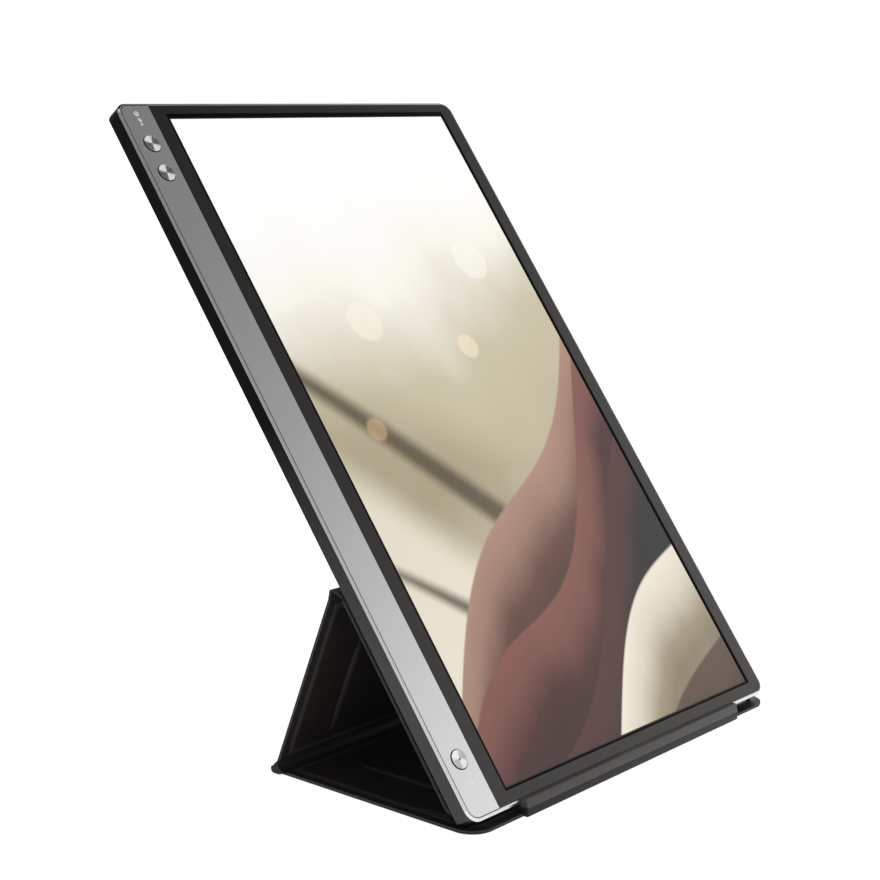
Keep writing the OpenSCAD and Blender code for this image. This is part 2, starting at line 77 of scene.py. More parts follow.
# ---- Where things lie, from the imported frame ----

hinges = {j["name"]: Vector(j["pos_m"]) for j in frame["joints"] if "pos_m" in j}
RIDGE, REAR = hinges["ridge_fold"], hinges["rear_fold"]
COVER_T, COVER_GAP, BODY_T = 1.7 * MM, 0.2 * MM, 8.5 * MM
SKIN_T = 1.3 * MM                                        # of a skin's tray, up to the lining
FOLD_T = 1.3 * MM
BODY_H = 360.6 * MM
STRIP_W = 19.2 * MM
LEAN = math.radians(53.8)
HALF = 116.35 * MM                                       # of the monitor's and the cover's width
ACTIVE = (-87.95 * MM, 8.2 * MM, 193.6 * MM, 344.2 * MM)   # left, bottom, width, height
BASE_FRONT, BASE_D = -59.0 * MM, 118.0 * MM
BASE_CORNER, REST_CORNER = 11 * MM, 4 * MM
REST_LOW, REST_TOP = 7.4 * MM, 110.3 * MM
FOLD_ROOM = 2.8 * MM                                     # left free between a panel and a fold line
STOP_INSET = 32.7 * MM                                   # from the cover's side to the bar's end
RIDGE_UP = 115.8 * MM
EDGE = Vector((0, -57.2 * MM, 5.82745 * MM))
FLIP = Matrix.Scale(-1, 4, Vector((0, 0, 1)))
SCREEN = Matrix.Translation(EDGE) @ Matrix.Rotation(LEAN, 4, "X")
REST = SCREEN @ Matrix.Translation((0, 0, -BODY_T - COVER_GAP)) @ FLIP
SLOPE = math.atan2(RIDGE.z - REAR.z, REAR.y - RIDGE.y)
REAR_LEN = (RIDGE - REAR).length
BACK = (Matrix.Translation(RIDGE) @ Matrix.Rotation(-SLOPE, 4, "X")
        @ Matrix.Translation((0, 0, COVER_T / 2)) @ FLIP)
BASE = Matrix.Translation((0, BASE_FRONT, 0))
KEY_X = -105.9 * MM
KEYS = {"menu_key": 338 * MM, "select_key": 322.2 * MM, "power_key": 27 * MM}
KEY_COLLAR = 5.3 * MM                                    # radius of the collar under the strip
POWER_MARK_UP = 16.6 * MM
INK_T = 0.02 * MM
MIX_INPUTS, MIX_RESULT = ("Factor", 6, 7), 2             # of a mix node that mixes colours

# ---- Small helpers for node materials ----


def graded(tree, source, stops):
    """A ramp of colours over a value."""
    made = tree.nodes.new("ShaderNodeValToRGB")
    ends = made.color_ramp.elements
    while len(ends) < len(stops):
        ends.new(0.5)
    for end, (at, colour) in zip(ends, stops):
        end.position = at
        end.color = (*colour, 1)
    tree.links.new(source, made.inputs["Fac"])
    return made.outputs["Color"]


class Finish:
    """A material under construction: its tree, its shader and a few common layers."""

    def __init__(self, name, colour, rough, metal=0.0, specular=0.5):
        self.mat = bpy.data.materials.new(name)
        self.mat.use_nodes = True
        self.tree = self.mat.node_tree
        self.shader = self.tree.nodes["Principled BSDF"]
        self.set("Base Color", (*colour, 1))
        self.set("Roughness", rough)
        self.set("Metallic", metal)
        self.set("Specular IOR Level", specular)
        self.bump = None
        self.place = self.node("ShaderNodeTexCoord").outputs["Object"]

    def node(self, kind, **values):
        made = self.tree.nodes.new(kind)
        for key, value in values.items():
            setattr(made, key, value)
        return made

    def link(self, a, b):
        self.tree.links.new(a, b)

    def set(self, socket, value):
        self.shader.inputs[socket].default_value = value

    def feed(self, socket, value):
        """Sets a socket to a number or a colour, or links it."""
        if isinstance(value, (int, float)):
            socket.default_value = value
        elif isinstance(value, tuple):
            socket.default_value = (*value, 1)
        else:
            self.link(value, socket)

    def axes(self, vector=None):
        """The coordinates of the place, or of another vector, one by one."""
        split = self.node("ShaderNodeSeparateXYZ")
        self.link(vector or self.place, split.inputs["Vector"])
        return split.outputs

    def on_screen(self):
        """Reads the screen's own axes: across, up the screen and out of the glass."""
        turn = self.node("ShaderNodeMapping", vector_type="TEXTURE")
        turn.inputs["Location"].default_value = EDGE
        turn.inputs["Rotation"].default_value = (LEAN, 0, 0)
        self.link(self.place, turn.inputs["Vector"])
        self.place = turn.outputs["Vector"]
        return self

    def stretched(self, scale):
        made = self.node("ShaderNodeMapping")
        made.inputs["Scale"].default_value = scale
        self.link(self.place, made.inputs["Vector"])
        return made.outputs["Vector"]

    def noise(self, scale, detail=3, rough=0.5, vector=None):
        made = self.node("ShaderNodeTexNoise")
        made.inputs["Scale"].default_value = scale
        made.inputs["Detail"].default_value = detail
        made.inputs["Roughness"].default_value = rough
        self.link(vector or self.place, made.inputs["Vector"])
        return made.outputs["Fac"]

    def cells(self, scale, vector=None):
        made = self.node("ShaderNodeTexVoronoi")
        made.inputs["Scale"].default_value = scale
        self.link(vector or self.place, made.inputs["Vector"])
        return made.outputs["Distance"]

    def math(self, kind, a, b=None, c=None, clamp=False):
        made = self.node("ShaderNodeMath", operation=kind, use_clamp=clamp)
        for slot, value in enumerate((a, b, c)):
            if value is not None:
                self.feed(made.inputs[slot], value)
        return made.outputs[0]

    def mix(self, share, a, b):
        made = self.node("ShaderNodeMix", data_type="RGBA")
        for slot, value in zip(MIX_INPUTS, (share, a, b)):
            self.feed(made.inputs[slot], value)
        return made.outputs[MIX_RESULT]

    def combined(self, a, b):
        made = self.node("ShaderNodeCombineXYZ")
        for socket, value in zip(("X", "Y"), (a, b)):
            self.feed(made.inputs[socket], value)
        return made.outputs["Vector"]

    def tint(self, value, dark, light):
        """Colour varies between two shades with a pattern."""
        self.link(self.mix(value, dark, light), self.shader.inputs["Base Color"])
        return self

    def roughness(self, value, low, high):
        made = self.node("ShaderNodeMapRange")
        made.inputs["To Min"].default_value = low
        made.inputs["To Max"].default_value = high
        self.link(value, made.inputs["Value"])
        self.link(made.outputs["Result"], self.shader.inputs["Roughness"])
        return self

    def relief(self, value, height, strength=1.0):
        """Adds a bump of a height in metres on top of the ones before."""
        made = self.node("ShaderNodeBump")
        made.inputs["Strength"].default_value = strength
        made.inputs["Distance"].default_value = height
        self.link(value, made.inputs["Height"])
        if self.bump:
            self.link(self.bump, made.inputs["Normal"])
        self.bump = made.outputs["Normal"]
        self.link(self.bump, self.shader.inputs["Normal"])
        return self


def shade(colour, factor):
    return tuple(min(1.0, c * factor) for c in colour)


# ---- Finishes ----


def moulded(name, colour, rough, grain=2600, painted_shade_span=None):
    """Fine spark-eroded plastic; between two heights, if given, its specular level fades toward the
    top: painted shade that darkens its upper sides.
    """
    f = Finish(name, colour, rough)
    if painted_shade_span:
        glossy, painted_shade_gloss = 0.5, 0.03
        level = f.node("ShaderNodeMapRange")
        ends = ("From Min", "From Max", "To Min", "To Max")
        for socket, value in zip(ends, (*painted_shade_span, glossy, painted_shade_gloss)):
            level.inputs[socket].default_value = value
        f.link(f.axes()["Z"], level.inputs["Value"])
        f.link(level.outputs["Result"], f.shader.inputs["Specular IOR Level"])
    fine = f.noise(grain, 2)
    wide = f.noise(18, 3)
    f.tint(wide, shade(colour, 0.88), shade(colour, 1.15))
    return f.roughness(fine, rough - 0.08, rough + 0.1).relief(fine, 0.03 * MM, 0.5).mat


def hairline(name, colour, rough, metal, across, height, amount, margin=None):
    """Fine brushed lines up the screen; a margin adds the black border of the picture."""
    f = Finish(name, colour, rough, metal).on_screen()
    lines = f.noise(1, 2, vector=f.stretched((across, across / 60, across)))
    wide = f.noise(9, 2)
    mixed = f.math("ADD", f.math("MULTIPLY", lines, 0.7), f.math("MULTIPLY", wide, 0.3))
    base = f.mix(mixed, shade(colour, 1 - amount), shade(colour, 1 + amount))
    if margin:
        border = near_picture(f, margin)
        base = f.mix(border, base, (0.0003, 0.0003, 0.0003))
        gloss, border_gloss = 0.53, 0.05
        level = f.math("MULTIPLY_ADD", border, border_gloss - gloss, gloss)
        f.link(level, f.shader.inputs["Specular IOR Level"])
        f.set("Specular Tint", (1.0, 0.96, 0.92, 1))
    f.link(base, f.shader.inputs["Base Color"])
    spread = amount / 2
    return f.roughness(lines, rough - spread, rough + spread).relief(lines, height, 0.35).mat


def near_picture(f, margin):
    """1 on the black border that runs round the picture area."""
    axes = f.axes()
    x0, y0, w, h = ACTIVE
    over = 0.9 * MM                                      # the border is wider at the top
    gaps = []
    for axis, low, size in (("X", x0, w), ("Y", y0, h + over)):
        away = f.math("ABSOLUTE", f.math("SUBTRACT", axes[axis], low + size / 2))
        gaps.append(f.math("SUBTRACT", away, size / 2))
    return f.math("LESS_THAN", f.math("MAXIMUM", *gaps), margin)


def leather(name, colour, rough=0.5, lit_above=None):
    """Thin coated leather with a fine pebble grain and patches of lighter wear; above a height, if
    one is given, painted light makes it much lighter and glossier.
    """
    f = Finish(name, colour, rough, specular=0.16)
    pebbles = f.cells(1500, f.stretched((1, 0.8, 1)))
    fine = f.noise(3300, 3)
    wide = f.noise(26, 4)
    wear_and_highlight = f.math("MULTIPLY", wide, f.noise(240, 3))
    wear_and_highlight = f.math("MULTIPLY", wear_and_highlight, 2.2, clamp=True)
    base = f.mix(wear_and_highlight, shade(colour, 0.75), shade(colour, 1.45))
    if lit_above:
        # Painted light: above the height the upper facet is much lighter and more specular
        soft = 0.4 * MM
        above = f.math("SUBTRACT", f.axes()["Z"], lit_above)
        over = f.math("MULTIPLY_ADD", above, 1 / soft, 0.5, clamp=True)
        base = f.mix(f.math("MULTIPLY", over, 0.88), base, shade(colour, 4.4))
        f.link(f.math("MULTIPLY_ADD", over, 0.2, 0.15), f.shader.inputs["Specular IOR Level"])
    f.link(base, f.shader.inputs["Base Color"])
    f.roughness(wide, rough - 0.08, rough + 0.12)
    f.relief(pebbles, 0.06 * MM, 0.5).relief(fine, 0.02 * MM, 0.4)
    f.set("Sheen Weight", 0.03)
    f.set("Sheen Roughness", 0.5)
    return f.mat


def coated(name, colour, rough):
    """Smooth coated lining with a faint grain and soft folds."""
    f = Finish(name, colour, rough, specular=0.6)
    grain = f.cells(1300, f.stretched((1, 0.85, 1)))
    fine = f.noise(3200, 3)
    clouds = f.noise(30, 4)
    f.tint(clouds, shade(colour, 0.7), shade(colour, 1.35))
    f.roughness(f.noise(160, 3), rough - 0.08, rough + 0.12)
    f.relief(clouds, 0.5 * MM, 0.3).relief(grain, 0.04 * MM, 0.4).relief(fine, 0.015 * MM, 0.4)
    return f.mat


def spun_metal(name, colour, contrast, lamp=False):
    """Turned face with rings round the key's middle; a painted highlight makes it bright on two
    opposite sides, and its side is painted dark as shade.
    """
    f = Finish(name, colour, 0.26, 1.0)
    f.set("Anisotropic", 0.6)
    turn = f.node("ShaderNodeTangent", direction_type="UV_MAP", uv_map="rings")
    f.link(turn.outputs["Tangent"], f.shader.inputs["Tangent"])
    uv = f.axes(f.node("ShaderNodeUVMap", uv_map="rings").outputs["UV"])
    around, out = uv["X"], uv["Y"]                       # in turns, and in radii of the collar
    phase, lamp_radius, face_radius = 3.7, 0.085, 0.798
    rings = f.noise(1, 2, vector=f.combined(0, f.math("MULTIPLY", out, 140)))
    # Painted highlight: two opposite bright sectors with fine streaks, painted into the colour
    painted_glint = f.math("SINE", f.math("MULTIPLY_ADD", around, 4 * math.pi, phase))
    painted_glint = f.math("MULTIPLY_ADD", painted_glint, 1.2, 0.45, clamp=True)
    for count, depth in ((22, 2.2), (57, 1.5)):
        spokes = f.noise(1, 1, vector=f.combined(f.math("MULTIPLY", around, count), count))
        painted_glint = f.math("ADD", painted_glint, f.math("MULTIPLY_ADD", spokes, depth, -depth / 2), clamp=True)
    base = f.mix(painted_glint, shade(colour, contrast), (1.0, 1.0, 1.0))
    base = f.mix(f.math("MULTIPLY", rings, 0.2), base, shade(colour, 0.7))
    # Less metal under the painted highlight, so its light colour shows
    f.link(f.math("MULTIPLY_ADD", painted_glint, -0.85, 1.0), f.shader.inputs["Metallic"])
    if lamp:
        dot = f.math("LESS_THAN", out, lamp_radius)
        base = f.mix(dot, base, (0.015, 0.014, 0.013))
    # Painted shade: the key's side, past its face, is near black
    side = f.math("GREATER_THAN", out, face_radius)
    base = f.mix(side, base, (0.02, 0.02, 0.021))
    f.link(base, f.shader.inputs["Base Color"])
    f.roughness(rings, 0.2, 0.34)
    return f.mat


def circuit_board(name):
    """Green solder mask with faint tracks and pads."""
    colour = (0.012, 0.11, 0.045)
    f = Finish(name, colour, 0.28).on_screen()
    tracks = f.node("ShaderNodeTexBrick", offset=0.35)
    tracks.inputs["Scale"].default_value = 260
    tracks.inputs["Mortar Size"].default_value = 0.06
    f.link(f.place, tracks.inputs["Vector"])
    pads = f.math("LESS_THAN", f.cells(330), 0.16)
    base = f.mix(tracks.outputs["Fac"], shade(colour, 0.8), shade(colour, 1.9))
    f.link(f.mix(pads, base, (0.62, 0.55, 0.36)), f.shader.inputs["Base Color"])
    return f.relief(tracks.outputs["Fac"], 0.02 * MM, 0.5).mat


def flat_cable(name):
    """Amber film over copper tracks."""
    f = Finish(name, (0.42, 0.19, 0.03), 0.3).on_screen()
    tracks = f.node("ShaderNodeTexWave", bands_direction="X")
    tracks.inputs["Scale"].default_value = 620
    f.link(f.place, tracks.inputs["Vector"])
    f.tint(tracks.outputs["Fac"], (0.3, 0.12, 0.02), (0.62, 0.33, 0.08))
    return f.relief(tracks.outputs["Fac"], 0.02 * MM, 0.4).mat


def sheet_steel(name, colour=(0.5, 0.51, 0.52), rough=0.34):
    """Rolled sheet with a faint grain and handling marks."""
    f = Finish(name, colour, rough, 1.0)
    grain = f.noise(1, 2, vector=f.stretched((90, 3200, 3200)))
    marks = f.noise(70, 5, 0.7)
    f.tint(marks, shade(colour, 0.82), shade(colour, 1.12))
    return f.roughness(marks, rough - 0.1, rough + 0.16).relief(grain, 0.01 * MM, 0.4).mat


def light_guide_finish(name):
    """Clear acrylic printed with rows of small dots."""
    f = Finish(name, (0.86, 0.87, 0.86), 0.22).on_screen()
    dots = f.cells(900)
    f.tint(f.math("LESS_THAN", dots, 0.3), (0.72, 0.75, 0.76), (0.93, 0.93, 0.9))
    return f.relief(dots, 0.01 * MM, 0.3).mat


def led_finish(name):
    """Row of yellow lamps in a white strip."""
    f = Finish(name, (0.85, 0.83, 0.7), 0.4).on_screen()
    lamps = f.node("ShaderNodeTexBrick", offset=0.0)
    lamps.inputs["Scale"].default_value = 60
    lamps.inputs["Mortar Size"].default_value = 0.12
    f.link(f.place, lamps.inputs["Vector"])
    f.tint(lamps.outputs["Fac"], (0.86, 0.78, 0.25), (0.9, 0.9, 0.87))
    return f.mat


def chip_finish(name):
    """Black moulded packages with a dull top."""
    f = Finish(name, (0.018, 0.018, 0.02), 0.5)
    fine = f.noise(3000, 3)
    f.tint(f.noise(120, 3), (0.012, 0.012, 0.013), (0.03, 0.03, 0.032))
    return f.roughness(fine, 0.42, 0.6).relief(fine, 0.03 * MM, 0.5).mat


def ink(name, colour):
    """Printed mark with slightly uneven cover."""
    f = Finish(name, colour, 0.5)
    f.tint(f.noise(900, 3), shade(colour, 0.92), shade(colour, 1.06))
    return f.mat


# ---- The lit picture: drifting folds of cloth-like colour, invented for this screen ----


def lit_picture(name):
    f = Finish(name, (0.01, 0.01, 0.01), 0.22, specular=0.35).on_screen()
    axes = f.axes()
    x0, y0, w, h = ACTIVE
    across = f.math("DIVIDE", f.math("SUBTRACT", axes["X"], x0), w)
    up = f.math("DIVIDE", f.math("SUBTRACT", axes["Y"], y0), h)

    def line(start, slope, swell, waves, phase):
        """Height of a wavy line across the picture."""
        straight = f.math("MULTIPLY_ADD", across, slope, start)
        wave = f.math("SINE", f.math("MULTIPLY_ADD", across, waves * 2 * math.pi, phase))
        return f.math("MULTIPLY_ADD", wave, swell, straight)

    def below(edge, soft):
        """1 under the line and 0 over it, with a soft edge."""
        gap = f.math("SUBTRACT", edge, up)
        return f.math("MULTIPLY_ADD", gap, 1 / soft, 0.5, clamp=True)

    def smooth(value):
        made = f.node("ShaderNodeMapRange", interpolation_type="SMOOTHSTEP")
        f.link(value, made.inputs["Value"])
        return made.outputs["Result"]

    haze = f.noise(1, 3, vector=f.stretched((11, 7, 1)))
    height = f.math("ADD", up, f.math("MULTIPLY_ADD", haze, 0.3, -0.15))
    height = f.math("MULTIPLY_ADD", across, -0.1, height)
    picture = graded(f.tree, height, [(0.0, (0.60, 0.50, 0.36)), (0.18, (0.82, 0.75, 0.60)),
                              (0.36, (0.52, 0.45, 0.30)), (0.52, (0.60, 0.54, 0.38)),
                              (0.68, (0.95, 0.92, 0.84)), (0.82, (1.0, 1.0, 1.0))])
    # Soft far bands of shade and light
    far = smooth(below(line(0.52, -0.22, 0.05, 0.8, 0.6), 0.2))
    picture = f.mix(f.math("MULTIPLY", far, 0.5), picture, (0.27, 0.21, 0.12))
    pale = smooth(below(line(0.40, -0.30, 0.06, 0.9, 2.2), 0.12))
    picture = f.mix(f.math("MULTIPLY", pale, 0.75), picture, (0.90, 0.84, 0.7))
    # Long dark bands that fall to the right
    for start, slope, thick, soft, depth in ((0.60, -0.55, 0.045, 0.04, 0.85),
                                             (0.30, -0.42, 0.025, 0.025, 0.85)):
        top = smooth(below(line(start, slope, 0.012, 0.7, 1.0), soft))
        low = smooth(below(line(start - thick, slope, 0.02, 0.6, 2.0), soft))
        band = f.math("SUBTRACT", top, low, clamp=True)
        picture = f.mix(f.math("MULTIPLY", band, depth), picture, (0.07, 0.045, 0.02))
    # Folds of wine and brown cloth rising to the right
    folds = ((0.10, 0.52, 0.05, 0.85, 0.4, (0.13, 0.055, 0.038), (0.42, 0.25, 0.185)),
             (0.02, 0.50, 0.06, 0.9, 1.3, (0.06, 0.014, 0.013), (0.23, 0.085, 0.065)),
             (-0.07, 0.44, 0.05, 0.8, 2.6, (0.006, 0.004, 0.004), (0.075, 0.022, 0.02)),
             (-0.18, 0.42, 0.04, 1.0, 3.4, (0.36, 0.29, 0.19), (0.86, 0.79, 0.65)),
             (-0.27, 0.36, 0.03, 0.9, 4.2, (0.012, 0.009, 0.008), (0.11, 0.06, 0.04)))
    for start, slope, swell, waves, phase, dark, light in folds:
        edge = line(start, slope, swell, waves, phase)
        cover = smooth(below(edge, 0.006))
        depth = f.math("MULTIPLY", f.math("SUBTRACT", edge, up), 7.5, clamp=True)
        sheen = f.noise(1, 2, vector=f.stretched((26, 9, 1)))
        depth = f.math("ADD", depth, f.math("MULTIPLY_ADD", sheen, 0.5, -0.25), clamp=True)
        cloth = graded(f.tree, depth, [(0.0, light), (0.35, shade(light, 0.8)), (0.75, dark),
                               (1.0, shade(dark, 0.7))])
        picture = f.mix(cover, picture, cloth)
    # Round soft lights
    for cx, cy, r, colour, amount in ((0.30, 0.66, 0.055, (1.0, 0.93, 0.78), 0.5),
                                      (0.62, 0.60, 0.035, (1.0, 0.86, 0.62), 0.5),
                                      (0.80, 0.74, 0.06, (1.0, 0.97, 0.9), 0.5),
                                      (0.16, 0.50, 0.03, (0.80, 0.52, 0.30), 0.4)):
        dx = f.math("SUBTRACT", across, cx)
        dy = f.math("MULTIPLY", f.math("SUBTRACT", up, cy), h / w)
        squares = [f.math("MULTIPLY", d, d) for d in (dx, dy)]
        away = f.math("SQRT", f.math("ADD", *squares))
        disc = smooth(f.math("MULTIPLY_ADD", f.math("SUBTRACT", r, away), 90, 0.5, clamp=True))
        picture = f.mix(f.math("MULTIPLY", disc, amount), picture, colour)
    # Unlit border of the panel
    inside = None
    for value, low, high in ((across, 0.0035, 0.9965), (up, 0.002, 0.998)):
        for part in (f.math("GREATER_THAN", value, low), f.math("LESS_THAN", value, high)):
            inside = part if inside is None else f.math("MULTIPLY", inside, part)
    picture = f.mix(inside, (0.004, 0.004, 0.004), picture)
    f.link(picture, f.shader.inputs["Emission Color"])
    f.set("Emission Strength", 0.97)
    fine = f.noise(4200, 2)
    return f.roughness(fine, 0.2, 0.28).mat


# ---- Mesh helpers ----


def finish_piece(name, bm, body, material, replaces=(), place=None, sharp=35, extra=()):
    """Makes an object of a mesh, with its body and the solids that it stands for."""
    if place is not None:
        bm.transform(place)
    bmesh.ops.recalc_face_normals(bm, faces=bm.faces)
    mesh = bpy.data.meshes.new(name)
    bm.to_mesh(mesh)
    bm.free()
    for one in (material, *extra):
        mesh.materials.append(one)
    mesh.shade_smooth()
    mesh.set_sharp_from_angle(angle=math.radians(sharp))
    made = bpy.data.objects.new(name, mesh)
    scene.collection.objects.link(made)
    if body:
        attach(made, body)
    if replaces:
        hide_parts(*replaces)
    return made


def even_faces(made):
    """Large flat faces keep their own direction beside the eased edges."""
    even = made.modifiers.new("even_faces", "WEIGHTED_NORMAL")
    even.keep_sharp = True
    even.weight = 100


def rounded(bm, edges, width, segments):
    if edges:
        bmesh.ops.bevel(bm, geom=list(edges), offset=width, offset_type="OFFSET",
                        segments=segments, profile=0.5, affect="EDGES", material=-1,
                        clamp_overlap=True)


def steep_edges(bm, degrees):
    limit = math.radians(degrees)
    return [e for e in bm.edges if len(e.link_faces) == 2 and e.calc_face_angle(0) > limit]


def slab(x0, y0, z0, x1, y1, z1):
    """A block between two corners."""
    bm = bmesh.new()
    bmesh.ops.create_cube(bm, size=1)
    bmesh.ops.scale(bm, vec=(x1 - x0, y1 - y0, z1 - z0), verts=bm.verts)
    bmesh.ops.translate(bm, vec=((x0 + x1) / 2, (y0 + y1) / 2, (z0 + z1) / 2), verts=bm.verts)
    return bm


def upright_edges(bm, y):
    """The upright edges that stand at one depth."""
    found = []
    for e in bm.edges:
        a, b = e.verts
        if abs(a.co.x - b.co.x) + abs(a.co.y - b.co.y) < 1e-7 and abs(a.co.y - y) < 1e-6:
            found.append(e)
    return found


def softened(node, width):
    """A copy of a solid with its hard edges eased."""
    bm = bmesh.new()
    bm.from_mesh(frame["nodes"][node].data)
    bmesh.ops.remove_doubles(bm, verts=bm.verts, dist=1e-6)
    bmesh.ops.dissolve_limit(bm, angle_limit=math.radians(0.5), verts=bm.verts, edges=bm.edges)
    rounded(bm, steep_edges(bm, 30), width, 2)
    return bm


def swept(section, places):
    """Carries a closed section through a row of places; its first and last faces close the ends."""
    bm = bmesh.new()
    first = bm.faces.new([bm.verts.new(places[0] @ Vector(p)) for p in section])
    face = first
    for before, after in zip(places, places[1:]):
        out = bmesh.ops.extrude_face_region(bm, geom=[face])
        moved = [g for g in out["geom"] if isinstance(g, bmesh.types.BMVert)]
        bmesh.ops.transform(bm, matrix=after @ before.inverted(), verts=moved)
        if face is not first and face.is_valid:
            bmesh.ops.delete(bm, geom=[face], context="FACES_ONLY")
        face = next(g for g in out["geom"] if isinstance(g, bmesh.types.BMFace))
    return bm


def profile_bar(points, x0, x1, steps=1):
    """Carries a closed side-view outline of (y, z) points along X."""
    places = [Matrix.Translation((i * (x1 - x0) / steps, 0, 0)) for i in range(steps + 1)]
    return swept([(x0, y, z) for y, z in points], places)


def along_path(path, size=None):
    """Places that follow a flat path, each turned to face along it."""
    places = []
    for i, p in enumerate(path):
        away = Vector(path[min(i + 1, len(path) - 1)]) - Vector(path[max(i - 1, 0)])
        turn = Matrix.Rotation(math.atan2(away.y, away.x), 4, "Z")
        scale = size(i) if size else 1.0
        places.append(Matrix.Translation((*p, 0)) @ turn @ Matrix.Diagonal((1, scale, scale, 1)))
    return places


def add_to(bm, other, place=None):
    """Puts one mesh into another."""
    if place is not None:
        other.transform(place)
    spare = bpy.data.meshes.new("spare")
    other.to_mesh(spare)
    other.free()
    bm.from_mesh(spare)
    bpy.data.meshes.remove(spare)


# ---- Monitor ----


def turned_key(name, level, material):
    """Round key: a dished face, a bright turned edge, a collar and a stem."""
    face, foot, collar = 0.3, -2.0, KEY_COLLAR / MM
    outline = [(0.02, face), (1.6, face), (3.3, 0.33), (3.85, 0.38), (4.05, 0.4), (4.18, 0.38),
               (4.26, face), (4.28, 0.15), (4.3, -1.2), (collar, -1.2), (collar, -1.7),
               (1.5, -1.7), (1.5, foot), (0.02, foot)]
    bm = bmesh.new()
    verts = [bm.verts.new((r * MM, 0, z * MM)) for r, z in outline]
    edges = [bm.edges.new(pair) for pair in zip(verts, verts[1:])]
    bmesh.ops.spin(bm, geom=verts + edges, cent=(0, 0, 0), axis=(0, 0, 1), dvec=(0, 0, 0),
                   angle=2 * math.pi, steps=72, use_merge=True, use_duplicate=False)
    bmesh.ops.remove_doubles(bm, verts=bm.verts, dist=1e-7)
    for z in (face, foot):
        ring = [e for e in bm.edges if e.is_boundary and abs(e.verts[0].co.z - z * MM) < 1e-7]
        bmesh.ops.edgeloop_fill(bm, edges=ring)
    bmesh.ops.translate(bm, vec=(KEY_X, level, 0), verts=bm.verts)
    rings = bm.loops.layers.uv.new("rings")
    for side in bm.faces:
        middle = side.calc_center_median()
        base = math.atan2(middle.y - level, middle.x - KEY_X)
        for loop in side.loops:
            dx, dy = loop.vert.co.x - KEY_X, loop.vert.co.y - level
            turn = math.atan2(dy, dx)
            turn += 2 * math.pi * round((base - turn) / (2 * math.pi))
            loop[rings].uv = (turn / (2 * math.pi), math.hypot(dx, dy) / KEY_COLLAR)
    finish_piece(name + "_cap", bm, name, material, (name,), SCREEN, 25)


def open_ring(inner, outer, gap):
    """A thin printed ring with a gap at its top."""
    bm = bmesh.new()
    a = bm.verts.new((inner * math.sin(gap), inner * math.cos(gap), 0))
    b = bm.verts.new((outer * math.sin(gap), outer * math.cos(gap), 0))
    edge = bm.edges.new((a, b))
    bmesh.ops.spin(bm, geom=[a, b, edge], cent=(0, 0, 0), axis=(0, 0, -1), dvec=(0, 0, 0),
                   angle=2 * math.pi - 2 * gap, steps=40, use_merge=False, use_duplicate=False)
    solid = bmesh.ops.extrude_face_region(bm, geom=list(bm.faces))
    bmesh.ops.translate(bm, vec=(0, 0, INK_T),
                        verts=[g for g in solid["geom"] if isinstance(g, bmesh.types.BMVert)])
    return bm


def printed_disc(radius, sides):
    """A thin printed disc or even-sided mark."""
    bm = bmesh.new()
    bmesh.ops.create_cone(bm, cap_ends=True, segments=sides, radius1=radius, radius2=radius,
                          depth=INK_T)
    return bm


def power_mark(level, material):
    """Broken ring with a short bar."""
    bm = open_ring(1.0 * MM, 1.35 * MM, math.radians(36))
    add_to(bm, slab(-0.17 * MM, 0.35 * MM, 0, 0.17 * MM, 1.6 * MM, INK_T))
    place = SCREEN @ Matrix.Translation((KEY_X + 0.4 * MM, level, 0.0))
    finish_piece("power_mark", bm, "monitor", material, (), place)


def socket_marks(material):
    """Trident mark of the data socket and the small mark beside it."""
    bm = bmesh.new()
    add_to(bm, slab(-0.24 * MM, -2.2 * MM, 0, 0.24 * MM, 1.7 * MM, INK_T))
    for angle, at, side in ((40, -0.9, 1), (-40, -0.2, -1)):
        arm = slab(-0.22 * MM, 0, 0, 0.22 * MM, 1.1 * MM, INK_T)
        turn = Matrix.Rotation(math.radians(-angle), 4, "Z")
        add_to(bm, arm, Matrix.Translation((0, at * MM, 0)) @ turn)
        up = slab(-0.22 * MM, 0, 0, 0.22 * MM, 0.6 * MM, INK_T)
        add_to(bm, up, Matrix.Translation((side * 0.64 * MM, (at + 0.74) * MM, 0)))
    for x, y, r in ((0, -2.3, 0.62), (0.64, 0.5, 0.42)):
        add_to(bm, printed_disc(r * MM, 24), Matrix.Translation((x * MM, y * MM, INK_T / 2)))
    add_to(bm, slab(-0.9 * MM, 1.0 * MM, 0, -0.4 * MM, 1.5 * MM, INK_T))
    turn = Matrix.Rotation(math.pi / 2, 4, "Z")
    add_to(bm, printed_disc(0.42 * MM, 3), Matrix.Translation((0, 1.9 * MM, INK_T / 2)) @ turn)
    place = SCREEN @ Matrix.Translation((-106.2 * MM, 350.5 * MM, 0)) @ Matrix.Scale(0.88, 4)
    finish_piece("data_mark", bm, "monitor", material, (), place)
    bm = open_ring(0.85 * MM, 1.35 * MM, math.radians(24))
    add_to(bm, slab(-0.2 * MM, -0.4 * MM, 0, 0.2 * MM, 0.5 * MM, INK_T))
    place = SCREEN @ Matrix.Translation((-106.5 * MM, 354.5 * MM, 0)) @ Matrix.Rotation(0.5, 4, "Z")
    finish_piece("socket_mark", bm, "monitor", material, (), place)


